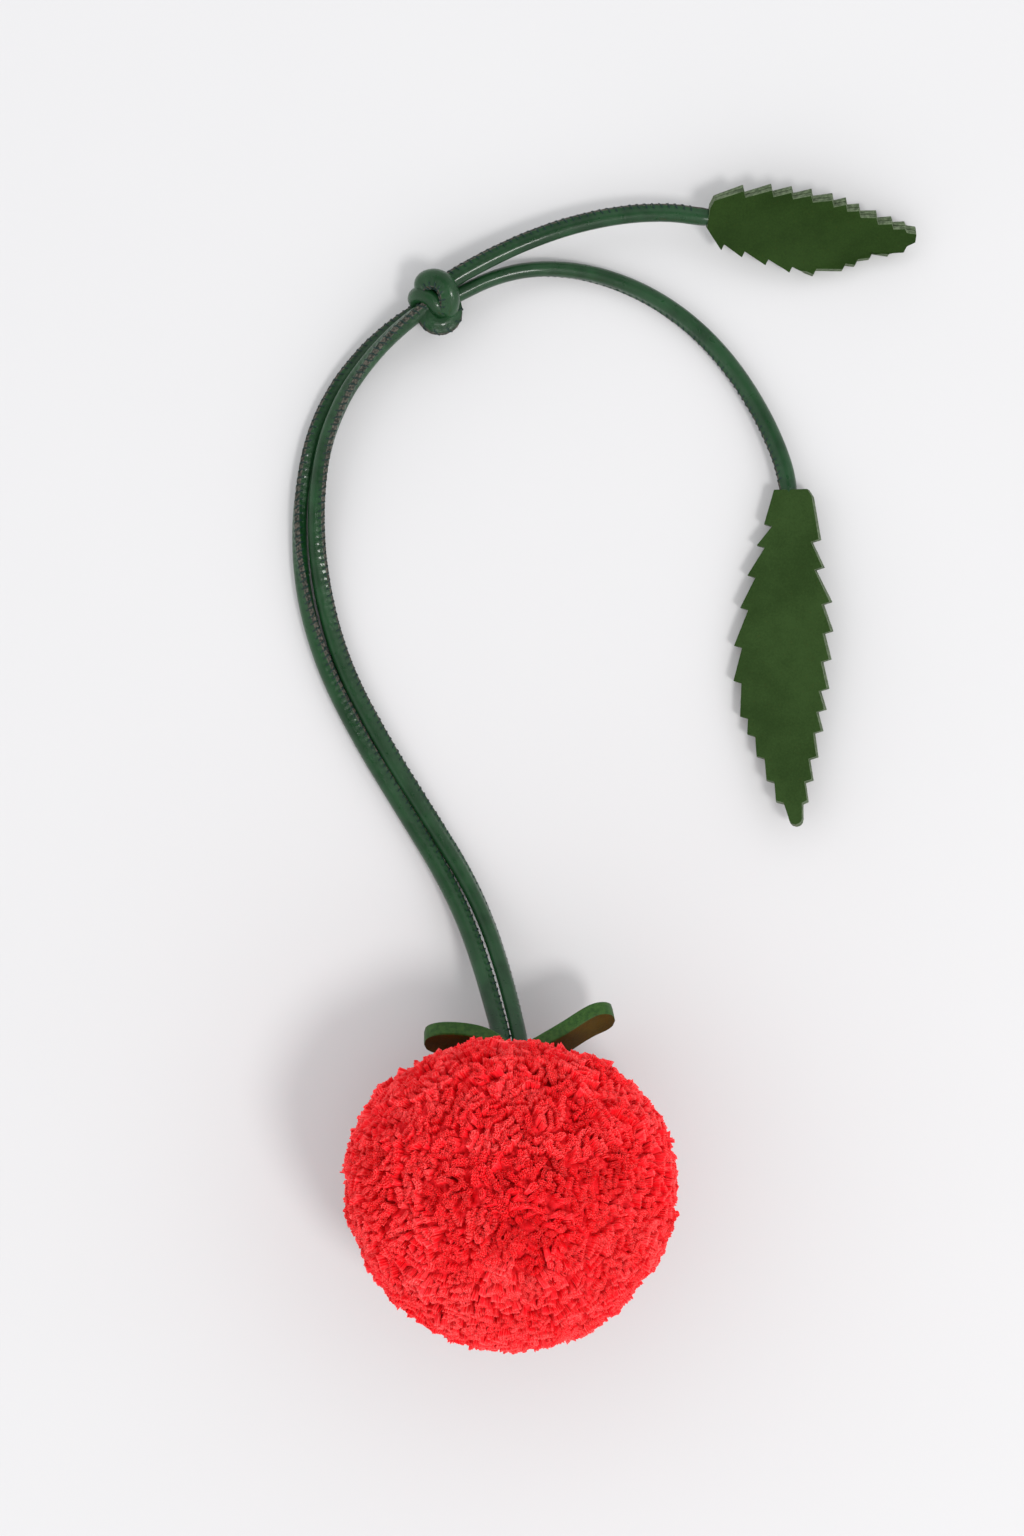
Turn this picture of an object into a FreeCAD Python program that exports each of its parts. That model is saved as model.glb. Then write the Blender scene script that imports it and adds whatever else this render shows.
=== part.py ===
import FreeCAD, Part
import math
import os

# Raffia tomato charm: a tied raffia pompom, a two-lobed leather calyx, a doubled stitched
# leather cord with an overhand knot, and a two-ply leather leaf on each end of the cord.
# Millimetres. The origin is the middle of the flat patch that the pompom rests on,
# +Y runs from the pompom towards the knot and +Z is up.

V = FreeCAD.Vector

# Pompom
POMPOM_RADII = (45.0, 42.0, 43.5)
POMPOM_CENTRE_Z = 42.3
WAIST_R = 7.5
WAIST_HALF_HEIGHT = 3.0
WAIST_FLARE_R = 11.0
WAIST_FLARE_HEIGHT = 9.0
BINDING_R = 8.5
BINDING_HALF_HEIGHT = 2.6
CHAMBER_R = 16.2
CHAMBER_HALF_HEIGHT = 2.9

# The way in for the doubled cord: half widths at distances down its slope.
PASSAGE_START = V(0.6, 9.0, 41.6)
PASSAGE_SLOPE = 32.4
PASSAGE_HALF_HEIGHT = 3.7
PASSAGE = [(13.2, 0.0), (13.2, 2.0), (8.2, 11.0), (5.8, 19.0), (5.8, 40.0)]

# Calyx
CALYX_CENTRE = V(0.9, 34.2, 25.2)
CALYX_TILT = 25.0
CALYX_THICKNESS = 4.0
CALYX_WIDTH = 17.0
CALYX_HOLE = (11.8, 7.6)
CALYX_SEAT_GAP = 0.5
WING_LENGTH = 9.4
WING_ANGLE_LEFT = 31.0
WING_ANGLE_RIGHT = 29.0
LOBE_GROOVE_CLEARANCE = 0.25
LOBE_LENGTH_LEFT = 17.3
LOBE_LENGTH_RIGHT = 21.6
LOBE_TIP_R = 5.0
LOBE_ANGLE_LEFT = 9.0
LOBE_ANGLE_RIGHT = 27.0

# Cord
CORD_D = 4.5
CORD_R = CORD_D / 2
LEG_SPACING = 5.3
SOCKET_CLEARANCE = 0.2
BIGHT_SETBACK = 1.9
NECK_R = 1.2
NECK_BALL_R = 1.7
NECK_SOCKET_R = 1.9

# The doubled cord leaves the calyx, drops to the surface and climbs to the knot.
# The right leg rides up onto the left one before the knot.
LEG_LEFT = [(-2.05, 38.6, 22.9), (-4.9, 48.6, 17.0), (-8.6, 61.0, 10.9), (-13.6, 74.6, 6.2),
            (-20.6, 88.6, 3.5), (-29.6, 103.2, 2.5), (-42.9, 124.8, 2.4), (-53.9, 146.2, 2.4),
            (-60.2, 168.0, 2.4), (-61.4, 189.8, 2.4), (-57.8, 210.8, 2.4), (-51.4, 225.2, 2.6),
            (-43.6, 235.6, 3.2), (-35.2, 243.4, 4.5), (-26.2, 249.3, 6.0)]
LEG_RIGHT = [(3.25, 38.6, 22.9), (0.9, 48.6, 17.0), (-2.6, 61.0, 10.9), (-7.4, 74.6, 6.2),
             (-14.2, 88.2, 3.5), (-23.4, 102.6, 2.5), (-36.8, 124.0, 2.4), (-48.6, 146.0, 2.4),
             (-55.0, 168.2, 2.7), (-56.8, 189.0, 4.7), (-54.4, 209.4, 6.7), (-48.8, 223.8, 7.5),
             (-42.0, 233.8, 8.1), (-34.4, 242.0, 9.3), (-26.0, 248.7, 10.6)]
END_A = [(-16.8, 258.0, 9.4), (-7.5, 263.3, 8.8), (4.0, 268.9, 8.2), (17.8, 273.8, 8.0),
         (32.4, 276.8, 8.1), (45.6, 277.3, 8.6), (54.8, 275.8, 9.15)]
END_B = [(-14.4, 254.7, 6.7), (-5.2, 259.4, 5.5), (5.6, 262.2, 4.0), (18.0, 262.2, 2.8),
         (30.2, 259.4, 2.4), (42.6, 253.8, 2.4), (54.4, 245.2, 2.4), (64.4, 234.2, 2.4),
         (72.4, 221.6, 3.0), (77.8, 209.8, 4.2), (80.6, 199.8, 4.85)]

# Knot
KNOT_CENTRE = V(-21.2, 252.5, 8.35)
KNOT_R = 8.3
KNOT_HALF_LENGTH = 6.5
KNOT_AXIS_ANGLE = 35.0

# Leaves: (distance from the mouth, half width) of each tooth's tip, down one side and
# then the other. Every tooth points to the leaf's tip and steps back in behind its own tip.
PLY = 2.1
POCKET_R = 1.6
POCKET_LENGTH = 14.0
TOOTH_SETBACK = 0.7
LEAF_A = {
    "mouth": V(56.4, 275.7, 9.2), "tip": V(117.2, 271.7, 5.3), "roll": 22.0, "tooth": 1.8,
    "collar": [(0.0, -2.6), (0.4, 3.5), (1.4, 5.9)],
    "up_side": [(9.5, 9.3), (17.5, 10.1), (23.3, 9.9), (29.0, 9.4), (35.1, 8.5),
                (39.1, 7.6), (43.1, 6.2), (48.3, 4.7), (52.9, 3.4), (56.9, 2.3)],
    "down_side": [(3.7, 7.5), (9.5, 9.2), (15.8, 11.1), (23.6, 12.6), (30.5, 13.6),
                  (38.0, 12.3), (42.3, 10.9), (46.6, 8.9), (51.8, 6.9), (56.4, 4.6)],
    "end_half_width": 1.3}
LEAF_B = {
    "mouth": V(80.9, 198.2, 4.95), "tip": V(82.0, 101.4, 4.95), "roll": 9.0, "tooth": 2.3,
    "collar": [(0.0, -4.9), (0.0, 4.9), (2.2, 6.2)],
    "up_side": [(14.6, 8.1), (22.6, 9.0), (32.6, 11.0), (41.0, 11.2), (49.1, 10.6),
                (57.5, 9.9), (63.5, 9.1), (69.6, 8.1), (77.1, 6.6), (83.7, 5.1), (89.8, 3.6)],
    "down_side": [(9.8, 7.9), (15.9, 10.1), (24.5, 12.9), (33.8, 15.1), (44.7, 17.0),
                  (54.9, 17.3), (65.2, 15.5), (70.4, 13.5), (76.8, 10.9), (83.7, 8.2), (89.8, 5.6)],
    "end_half_width": 2.0}


def save(shape, node):
    """Write one node, after checking that it is sound."""
    if not shape.isValid() or shape.Volume <= 0:
        raise RuntimeError(node + " is not a sound solid")
    shape.exportStep("parts/" + node + ".step")
    print(node, round(shape.Volume, 1), "mm3", len(shape.Solids), "solid")


def cord_path(points):
    """Straight runs joined by tangent arcs; returns the wire, its length and its least radius."""
    pts = [V(*p) for p in points]
    edges = []
    start = pts[0]
    least = 1e9
    for before, here, after in zip(pts, pts[1:], pts[2:]):
        run_in = here - before
        run_out = after - here
        turn = run_in.getAngle(run_out)
        set_back = 0.45 * min(run_in.Length, run_out.Length)
        least = min(least, set_back / math.tan(turn / 2))
        arc_start = here - run_in.normalize() * set_back
        arc_end = here + run_out.normalize() * set_back
        to_middle = (arc_start + arc_end) * 0.5 - here
        radius = set_back / math.tan(turn / 2)
        middle = here + to_middle * ((math.hypot(set_back, radius) - radius) / to_middle.Length)
        edges.append(Part.LineSegment(start, arc_start).toShape())
        edges.append(Part.Arc(arc_start, middle, arc_end).toShape())
        start = arc_end
    edges.append(Part.LineSegment(start, pts[-1]).toShape())
    wire = Part.Wire(edges)
    return wire, wire.Length, least


def cord_tube(name, points, radius=CORD_R):
    """A round tube along a cord's route."""
    wire, length, least = cord_path(points)
    first = V(*points[1]) - V(*points[0])
    profile = Part.Wire(Part.makeCircle(radius, V(*points[0]), first))
    tube = wire.makePipeShell([profile], True, False)
    expected = math.pi * radius ** 2 * length
    print(name, "length", round(length, 1), "least radius", round(least, 1),
          "volume ratio", round(tube.Volume / expected, 4))
    return tube


def sphere(radius, centre):
    return Part.makeSphere(radius, V(*centre))


def rounded_start(tube, points):
    """Give a cord a ball-shaped root, so that it can turn in its socket."""
    return tube.fuse(sphere(CORD_R, points[0]))


def necked_end(tube, points, mouth):
    """Give a cord a slim neck and a ball where it enters the leaf."""
    root = V(*points[-1])
    reach = mouth - root
    neck = Part.makeCylinder(NECK_R, reach.Length, root, reach)
    return tube.fuse(neck).fuse(sphere(NECK_BALL_R, mouth))


def place_calyx(shape):
    """From the calyx's own frame (X across, Y outwards, Z up the lobe's width) to the part."""
    turn = FreeCAD.Rotation(V(1, 0, 0), -CALYX_TILT)
    shape.Placement = FreeCAD.Placement(CALYX_CENTRE, turn).multiply(shape.Placement)
    return shape


def wing_end(side, angle):
    """The hinge line at the end of one wing of the calyx's middle, in its own frame."""
    radians = math.radians(angle)
    return V(side * WING_LENGTH * math.cos(radians), WING_LENGTH * math.sin(radians), 0)


def pompom_body():
    """The whole ball, flat where it rests and where the calyx sits on it."""
    ball = Part.makeSphere(1.0)
    stretch = FreeCAD.Matrix()
    stretch.scale(V(*POMPOM_RADII))
    ball = ball.transformGeometry(stretch)
    ball.translate(V(0, 0, POMPOM_CENTRE_Z))
    reach = 3 * max(POMPOM_RADII)
    ball = ball.cut(Part.makeBox(reach, reach, reach, V(-reach / 2, -reach / 2, -reach)))
    seat = Part.makeBox(reach, reach, reach, V(-reach / 2, -CALYX_THICKNESS / 2 - CALYX_SEAT_GAP, -reach / 2))
    return ball.cut(place_calyx(seat))


def core_hollow():
    """The space inside the pompom for the waist, its binding and the cord's bight."""
    chamber = Part.makeCylinder(CHAMBER_R, 2 * CHAMBER_HALF_HEIGHT,
                                V(0, 0, POMPOM_CENTRE_Z - CHAMBER_HALF_HEIGHT))
    outline = [V(side * x, y, 0) for side, row in ((1, PASSAGE), (-1, PASSAGE[::-1])) for x, y in row]
    passage = Part.Face(Part.makePolygon(outline + outline[:1])).extrude(V(0, 0, 2 * PASSAGE_HALF_HEIGHT))
    passage.translate(V(0, 0, -PASSAGE_HALF_HEIGHT))
    passage.rotate(V(0, 0, 0), V(1, 0, 0), -PASSAGE_SLOPE)
    passage.translate(PASSAGE_START)
    return waist().fuse(chamber).fuse(passage)


def waist():
    """The tied middle of the bundle, pinched to an hourglass."""
    outline = [V(0, 0, -WAIST_FLARE_HEIGHT), V(WAIST_FLARE_R, 0, -WAIST_FLARE_HEIGHT),
               V(WAIST_R, 0, -WAIST_HALF_HEIGHT), V(WAIST_R, 0, WAIST_HALF_HEIGHT),
               V(WAIST_FLARE_R, 0, WAIST_FLARE_HEIGHT), V(0, 0, WAIST_FLARE_HEIGHT)]
    face = Part.Face(Part.makePolygon(outline + outline[:1]))
    shape = face.revolve(V(0, 0, 0), V(0, 0, 1), 360)
    shape.translate(V(0, 0, POMPOM_CENTRE_Z))
    return shape


def binding():
    """The flat winding of thread round the waist."""
    base = V(0, 0, POMPOM_CENTRE_Z - BINDING_HALF_HEIGHT)
    outer = Part.makeCylinder(BINDING_R, 2 * BINDING_HALF_HEIGHT, base)
    return outer.cut(Part.makeCylinder(WAIST_R, 2 * BINDING_HALF_HEIGHT, base))


def bight_route():
    """In through the calyx, up to the waist, round the binding and out again."""
    left = V(*LEG_LEFT[0])
    right = V(*LEG_RIGHT[0])
    middle_x = (left.x + right.x) / 2
    half = LEG_SPACING / 2
    inwards = V(0, 24.0, 31.5) - V(0, left.y, left.z)
    step = inwards / inwards.Length * BIGHT_SETBACK
    z = POMPOM_CENTRE_Z
    going_in = [(middle_x - half, 24.0, 31.5), (-4.0, 16.5, 37.2), (-10.6, 9.0, z - 0.6),
                (-13.0, -2.0, z), (-8.6, -10.8, z)]
    coming_out = [(8.6, -10.8, z), (13.0, -2.0, z), (10.6, 9.0, z - 0.6), (4.8, 16.5, 37.2),
                  (middle_x + half, 24.0, 31.5)]
    return [tuple(left + step)] + going_in + [(0.0, -13.6, z)] + coming_out + [tuple(right + step)]


def bight():
    """The hidden loop of the cord that holds the bundle, cupped for the legs' round roots."""
    loop = cord_tube("cord_bight", bight_route())
    for socket in (LEG_LEFT[0], LEG_RIGHT[0]):
        loop = loop.cut(sphere(CORD_R + SOCKET_CLEARANCE, socket))
    return loop


def calyx_centre():
    """The bent middle of the leather calyx, with the hole for the doubled cord."""
    half_t = CALYX_THICKNESS / 2
    half_w = CALYX_WIDTH / 2
    plate = Part.makeCylinder(half_t, CALYX_WIDTH, V(0, 0, -half_w))
    for side, angle in ((-1, WING_ANGLE_LEFT), (1, WING_ANGLE_RIGHT)):
        wing = Part.makeBox(WING_LENGTH, CALYX_THICKNESS, CALYX_WIDTH, V(0, -half_t, -half_w))
        wing.rotate(V(0, 0, 0), V(0, 0, 1), angle)
        if side < 0:
            wing = wing.mirror(V(0, 0, 0), V(1, 0, 0))
        plate = plate.fuse(wing)
    for side, angle in ((-1, WING_ANGLE_LEFT), (1, WING_ANGLE_RIGHT)):
        groove = Part.makeCylinder(half_t + LOBE_GROOVE_CLEARANCE, 2 * CALYX_WIDTH, V(0, 0, -CALYX_WIDTH))
        groove.translate(wing_end(side, angle))
        plate = plate.cut(groove)
    hole = Part.makeBox(CALYX_HOLE[0], 6 * CALYX_THICKNESS, CALYX_HOLE[1],
                        V(-CALYX_HOLE[0] / 2, -3 * CALYX_THICKNESS, -CALYX_HOLE[1] / 2))
    rim = [e for e in hole.Edges if abs(e.tangentAt(e.FirstParameter).y) > 0.9]
    return place_calyx(plate.cut(hole.makeFillet(CALYX_HOLE[1] / 2 - 0.1, rim)))


def calyx_lobe(side, length, angle, wing_angle):
    """One leather lobe: a rounded petal with a round root that turns in the wing's groove."""
    half_t = CALYX_THICKNESS / 2
    half_w = CALYX_WIDTH / 2
    blank = Part.makeBox(length, CALYX_THICKNESS, CALYX_WIDTH, V(0, -half_t, -half_w))
    blank = blank.fuse(Part.makeCylinder(half_t, CALYX_WIDTH, V(0, 0, -half_w)))
    back = -half_t - 1.0
    straight = 0.2 * length
    corner = V(length - LOBE_TIP_R * 0.45, 0, LOBE_TIP_R * 0.84)
    belly = V((straight + corner.x) / 2 + 1.0, 0, half_w * 0.86)
    tip = V(length, 0, 0)
    mirrored = [V(p.x, 0, -p.z) for p in (corner, belly)]
    curve = [Part.LineSegment(V(back, 0, -half_w), V(back, 0, half_w)),
             Part.LineSegment(V(back, 0, half_w), V(straight, 0, half_w)),
             Part.Arc(V(straight, 0, half_w), belly, corner),
             Part.Arc(corner, tip, mirrored[0]),
             Part.Arc(mirrored[0], mirrored[1], V(straight, 0, -half_w)),
             Part.LineSegment(V(straight, 0, -half_w), V(back, 0, -half_w))]
    outline = Part.Face(Part.Wire([c.toShape() for c in curve]))
    outline.translate(V(0, -CALYX_THICKNESS, 0))
    petal = blank.common(outline.extrude(V(0, 2 * CALYX_THICKNESS, 0)))
    petal.rotate(V(0, 0, 0), V(0, 0, 1), angle)
    if side < 0:
        petal = petal.mirror(V(0, 0, 0), V(1, 0, 0))
    petal.translate(wing_end(side, wing_angle))
    return place_calyx(petal)


def leaf_placement(leaf):
    """The leaf's own frame: X from the mouth to the tip, Z out of its face."""
    along = leaf["tip"] - leaf["mouth"]
    across = V(0, 0, 1).cross(along)
    face = along.cross(across)
    flat = FreeCAD.Rotation(along, across, face, "XYZ")
    roll = FreeCAD.Rotation(along, leaf["roll"])
    return FreeCAD.Placement(leaf["mouth"], roll * flat)


def toothed_side(tips, depth, sign):
    """Tooth tips and the notch behind each, as points down one side of the leaf."""
    points = []
    for distance, half_width in tips:
        notch = half_width - min(depth, 0.42 * half_width)
        points.append(V(distance, sign * half_width, 0))
        points.append(V(distance + TOOTH_SETBACK, sign * notch, 0))
    return points


def leaf_outline(leaf):
    length = (leaf["tip"] - leaf["mouth"]).Length
    half = leaf["end_half_width"]
    points = [V(x, y, 0) for x, y in leaf["collar"]]
    points += toothed_side(leaf["up_side"], leaf["tooth"], 1)
    points += [V(length - half, half, 0), V(length, 0, 0), V(length - half, -half, 0)]
    points += toothed_side(leaf["down_side"], leaf["tooth"], -1)[::-1]
    return Part.Face(Part.makePolygon(points + points[:1]))


def leaf_ply(leaf, side):
    """One of the two leather plies, with its half of the pocket for the cord's tip."""
    ply = leaf_outline(leaf).extrude(V(0, 0, side * PLY))
    pocket = Part.makeCylinder(POCKET_R, POCKET_LENGTH, V(0, 0, 0), V(1, 0, 0))
    ply = ply.cut(pocket).cut(sphere(NECK_SOCKET_R, (0, 0, 0)))
    ply.Placement = leaf_placement(leaf)
    return ply


def cord_tip(leaf):
    """The skived end of the cord, glued between the plies."""
    tip = Part.makeCylinder(POCKET_R, POCKET_LENGTH, V(0, 0, 0), V(1, 0, 0))
    tip = tip.cut(sphere(NECK_SOCKET_R, (0, 0, 0)))
    tip.Placement = leaf_placement(leaf)
    return tip


def knot(legs):
    """The overhand knot's outer shape, with sockets for the two ends."""
    axis = V(math.cos(math.radians(KNOT_AXIS_ANGLE)), math.sin(math.radians(KNOT_AXIS_ANGLE)), 0)
    half_face = math.sqrt(KNOT_R ** 2 - KNOT_HALF_LENGTH ** 2)
    profile = [Part.LineSegment(V(-KNOT_HALF_LENGTH, 0, 0), V(-KNOT_HALF_LENGTH, half_face, 0)),
               Part.Arc(V(-KNOT_HALF_LENGTH, half_face, 0), V(0, KNOT_R, 0),
                        V(KNOT_HALF_LENGTH, half_face, 0)),
               Part.LineSegment(V(KNOT_HALF_LENGTH, half_face, 0), V(KNOT_HALF_LENGTH, 0, 0)),
               Part.LineSegment(V(KNOT_HALF_LENGTH, 0, 0), V(-KNOT_HALF_LENGTH, 0, 0))]
    face = Part.Face(Part.Wire([edge.toShape() for edge in profile]))
    body = face.revolve(V(0, 0, 0), V(1, 0, 0), 360)
    body.Placement = FreeCAD.Placement(KNOT_CENTRE, FreeCAD.Rotation(V(1, 0, 0), axis))
    for socket in (END_A[0], END_B[0]):
        body = body.cut(sphere(CORD_R + SOCKET_CLEARANCE, socket))
    for leg in legs:
        body = body.cut(leg)
    return body


os.makedirs("parts", exist_ok=True)

pompom = pompom_body().cut(core_hollow())
span = 3 * max(POMPOM_RADII)
upper_half = Part.makeBox(span, span, span, V(-span / 2, -span / 2, POMPOM_CENTRE_Z))
save(pompom.common(upper_half), "tuft_upper")
save(pompom.cut(upper_half), "tuft_lower")
save(waist(), "tuft_waist")
save(binding(), "binding_thread")
save(bight(), "cord_bight")
save(calyx_centre(), "calyx_centre")
save(calyx_lobe(-1, LOBE_LENGTH_LEFT, LOBE_ANGLE_LEFT, WING_ANGLE_LEFT), "calyx_lobe_left")
save(calyx_lobe(1, LOBE_LENGTH_RIGHT, LOBE_ANGLE_RIGHT, WING_ANGLE_RIGHT), "calyx_lobe_right")

left_leg = rounded_start(cord_tube("cord_leg_left", LEG_LEFT), LEG_LEFT)
right_leg = rounded_start(cord_tube("cord_leg_right", LEG_RIGHT), LEG_RIGHT)
save(left_leg, "cord_leg_left")
save(right_leg, "cord_leg_right")
save(knot([left_leg, right_leg]), "cord_knot")

for letter, route, leaf in (("a", END_A, LEAF_A), ("b", END_B, LEAF_B)):
    end = rounded_start(cord_tube("cord_end_" + letter, route), route)
    save(necked_end(end, route, leaf["mouth"]), "cord_end_" + letter)
    save(leaf_ply(leaf, 1), "leaf_" + letter + "_face_ply")
    save(leaf_ply(leaf, -1), "leaf_" + letter + "_back_ply")
    save(cord_tip(leaf), "leaf_" + letter + "_cord_tip")
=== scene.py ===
import math
import random

import bmesh
import bpy
import numpy as np
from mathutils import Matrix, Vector, kdtree, noise


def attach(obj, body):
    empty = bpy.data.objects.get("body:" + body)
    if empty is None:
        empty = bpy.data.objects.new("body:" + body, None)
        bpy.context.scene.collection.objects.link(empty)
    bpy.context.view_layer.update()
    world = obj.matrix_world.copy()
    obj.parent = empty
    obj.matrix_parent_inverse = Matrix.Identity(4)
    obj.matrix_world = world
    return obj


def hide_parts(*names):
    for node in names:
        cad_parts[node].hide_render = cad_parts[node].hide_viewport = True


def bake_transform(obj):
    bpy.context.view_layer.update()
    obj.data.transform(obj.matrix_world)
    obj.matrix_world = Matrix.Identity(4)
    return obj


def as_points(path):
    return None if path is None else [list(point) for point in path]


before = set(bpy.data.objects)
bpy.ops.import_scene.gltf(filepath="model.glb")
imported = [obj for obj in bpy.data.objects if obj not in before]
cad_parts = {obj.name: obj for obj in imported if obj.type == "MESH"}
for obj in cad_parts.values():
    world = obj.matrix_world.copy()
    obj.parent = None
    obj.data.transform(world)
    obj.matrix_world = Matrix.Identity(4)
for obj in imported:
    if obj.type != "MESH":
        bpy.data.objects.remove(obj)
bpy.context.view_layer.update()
MM = 0.001
random.seed(11)
noise.seed_set(11)


# ---------------------------------------------------------------- camera and light
# A camera straight above a pale studio table. One large soft light stands at the lower right,
# and a pale room fills the shadows.

def place_light(name, towards, distance, size, power, colour):
    """An area light that far away in that direction from the middle of the part, facing it."""
    data = bpy.data.lights.new(name, "AREA")
    data.shape = "DISK"
    data.size = size
    data.energy = power
    data.color = colour
    light = bpy.data.objects.new(name, data)
    direction = Vector(towards).normalized()
    light.location = Vector((0.0, 0.11, 0.0)) + direction * distance
    light.rotation_euler = direction.to_track_quat("Z", "Y").to_euler()
    bpy.context.collection.objects.link(light)


camera_data = bpy.data.cameras.new("camera")
camera_data.sensor_fit = "VERTICAL"
camera_data.sensor_height = 36
camera_data.lens = 72.74
camera_data.clip_start = 0.01
camera = bpy.data.objects.new("camera", camera_data)
camera.location = (0.4 * MM, 118 * MM, 900 * MM)
bpy.context.collection.objects.link(camera)
bpy.context.scene.camera = camera

place_light("key", (0.42, -0.36, 1.0), 3.0, 0.72, 37.0, (1.0, 0.985, 0.97))

# The room is pale all round and dimmer straight above, where the camera hangs. Dark screens
# keep most of it out of the reflections.
world = bpy.data.worlds.new("studio")
world.use_nodes = True
room = world.node_tree
room.nodes["Background"].inputs["Color"].default_value = (0.98, 0.98, 0.99, 1)
sky = room.nodes.new("ShaderNodeTexCoord")
split = room.nodes.new("ShaderNodeSeparateXYZ")
dimming = room.nodes.new("ShaderNodeMapRange")
dimming.interpolation_type = "SMOOTHSTEP"
# From this height to that, for a direction of length 1, and the strengths below and above.
for socket, value in zip(dimming.inputs[1:5], (0.72, 0.97, 1.64, 0.4)):
    socket.default_value = value
room.links.new(sky.outputs["Generated"], split.inputs[0])
room.links.new(split.outputs["Z"], dimming.inputs[0])
screens = room.nodes.new("ShaderNodeLightPath")
kept = room.nodes.new("ShaderNodeMapRange")
kept.inputs["To Min"].default_value = 1.0
kept.inputs["To Max"].default_value = 0.42
strength = room.nodes.new("ShaderNodeMath")
strength.operation = "MULTIPLY"
room.links.new(screens.outputs["Is Glossy Ray"], kept.inputs["Value"])
room.links.new(dimming.outputs[0], strength.inputs[0])
room.links.new(kept.outputs[0], strength.inputs[1])
room.links.new(strength.outputs[0], room.nodes["Background"].inputs["Strength"])
bpy.context.scene.world = world
bpy.context.scene.view_settings.view_transform = "Standard"


# ---------------------------------------------------------------- table
# The studio table: matt white card, far larger than the view, that the whole part lies on.

class Value:
    """A socket of a material's node tree that can be used in sums."""

    def __init__(self, nodes, socket):
        self.nodes = nodes
        self.socket = socket

    def maths(self, operation, *others):
        return self.nodes.add("Math", [self, *others], operation=operation)

    def __add__(self, other):
        return self.maths("ADD", other)

    def __sub__(self, other):
        return self.maths("SUBTRACT", other)

    def __mul__(self, other):
        return self.maths("MULTIPLY", other)

    def ramp(self, low, high):
        """0 up to low, 1 from high, and smooth between them."""
        return self.nodes.add("MapRange", [self, low, high], interpolation_type="SMOOTHSTEP")


class Finish:
    """A principled material, with constants on its sockets and one method for other nodes."""

    def __init__(self, name, **constants):
        self.material = bpy.data.materials.new(name)
        self.material.use_nodes = True
        self.tree = self.material.node_tree
        self.shader = self.tree.nodes["Principled BSDF"]
        for key, value in constants.items():
            self.shader.inputs[key.replace("_", " ")].default_value = value

    def add(self, kind, inputs=(), output=0, **settings):
        """A new node, with its inputs in order or by name; returns one of its outputs."""
        node = self.tree.nodes.new("ShaderNode" + kind)
        for key, value in settings.items():
            setattr(node, key, value)
        pairs = inputs.items() if isinstance(inputs, dict) else enumerate(inputs)
        for socket, value in pairs:
            self.put(value, node.inputs[socket])
        return Value(self, node.outputs[output])

    def put(self, value, socket):
        if isinstance(value, Value):
            self.tree.links.new(value.socket, socket)
        elif value is not None:
            socket.default_value = value

    def place(self):
        return self.add("TexCoord", output="Object")

    def attribute(self, name):
        return self.add("Attribute", output="Fac", attribute_name=name)

    def noise(self, scale, detail=3.0, at=None, rough=0.5):
        """Noise with features about 1 / scale metres across."""
        inputs = {"Vector": at or self.place(), "Scale": scale, "Detail": detail, "Roughness": rough}
        return self.add("TexNoise", inputs)

    def grain(self, scale):
        """The pebbles of a leather's grain."""
        inputs = {"Vector": self.place(), "Scale": scale}
        return self.add("TexVoronoi", inputs, feature="DISTANCE_TO_EDGE")

    def mix(self, factor, first, second):
        inputs = {0: factor, 6: first, 7: second}
        return self.add("Mix", inputs, output=2, data_type="RGBA")

    def colour(self, value):
        self.put(value, self.shader.inputs["Base Color"])

    def roughness(self, value):
        self.put(value, self.shader.inputs["Roughness"])

    def bump(self, height, distance, strength=1.0):
        inputs = {"Strength": strength, "Distance": distance, "Height": height}
        self.put(self.add("Bump", inputs), self.shader.inputs["Normal"])


def shade(red, green, blue):
    """A colour given as it looks on a screen, from 0 to 255."""
    return tuple((c / 255) ** 2.2 for c in (red, green, blue)) + (1,)


def floor_finish():
    finish = Finish("table", Roughness=0.7, Specular_IOR_Level=0.2)
    finish.colour(finish.mix(finish.noise(9.0), shade(195, 195, 196), shade(197, 197, 198)))
    return finish.material


bpy.ops.mesh.primitive_plane_add(size=60, location=(0, 0.11, 0))
floor = bpy.context.object
floor.name = "floor"
floor.data.materials.append(floor_finish())


# ---------------------------------------------------------------- cord
# One cord: a round core wrapped in a strip of smooth dyed leather. The strip's raw edges stand up
# side by side, held by a slanting over-and-over stitch, and the seam winds slowly round. It runs
# double from the tied middle of the pompom to the knot, and its ends are glued into the leaves.

def new_piece(name, vertices, faces, materials, face_materials=None, smooth=True):
    """A mesh object from vertices in metres; face_materials gives each face's material."""
    mesh = bpy.data.meshes.new(name)
    mesh.from_pydata([tuple(v) for v in vertices], [], faces)
    for material in materials:
        mesh.materials.append(material)
    if face_materials is not None:
        mesh.polygons.foreach_set("material_index", face_materials)
    mesh.polygons.foreach_set("use_smooth", [smooth] * len(mesh.polygons))
    piece = bpy.data.objects.new(name, mesh)
    bpy.context.collection.objects.link(piece)
    return piece


def set_attribute(piece, name, values):
    attribute = piece.data.attributes.new(name, "FLOAT", "POINT")
    attribute.data.foreach_set("value", np.asarray(values, dtype=np.float32))


def ring_faces(rings, count, first=0, closed=True):
    """Quads between rings of count vertices each."""
    faces = []
    for ring in range(rings - 1):
        for step in range(count if closed else count - 1):
            a = first + ring * count + step
            b = first + ring * count + (step + 1) % count
            faces.append((a, b, b + count, a + count))
    return faces


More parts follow.
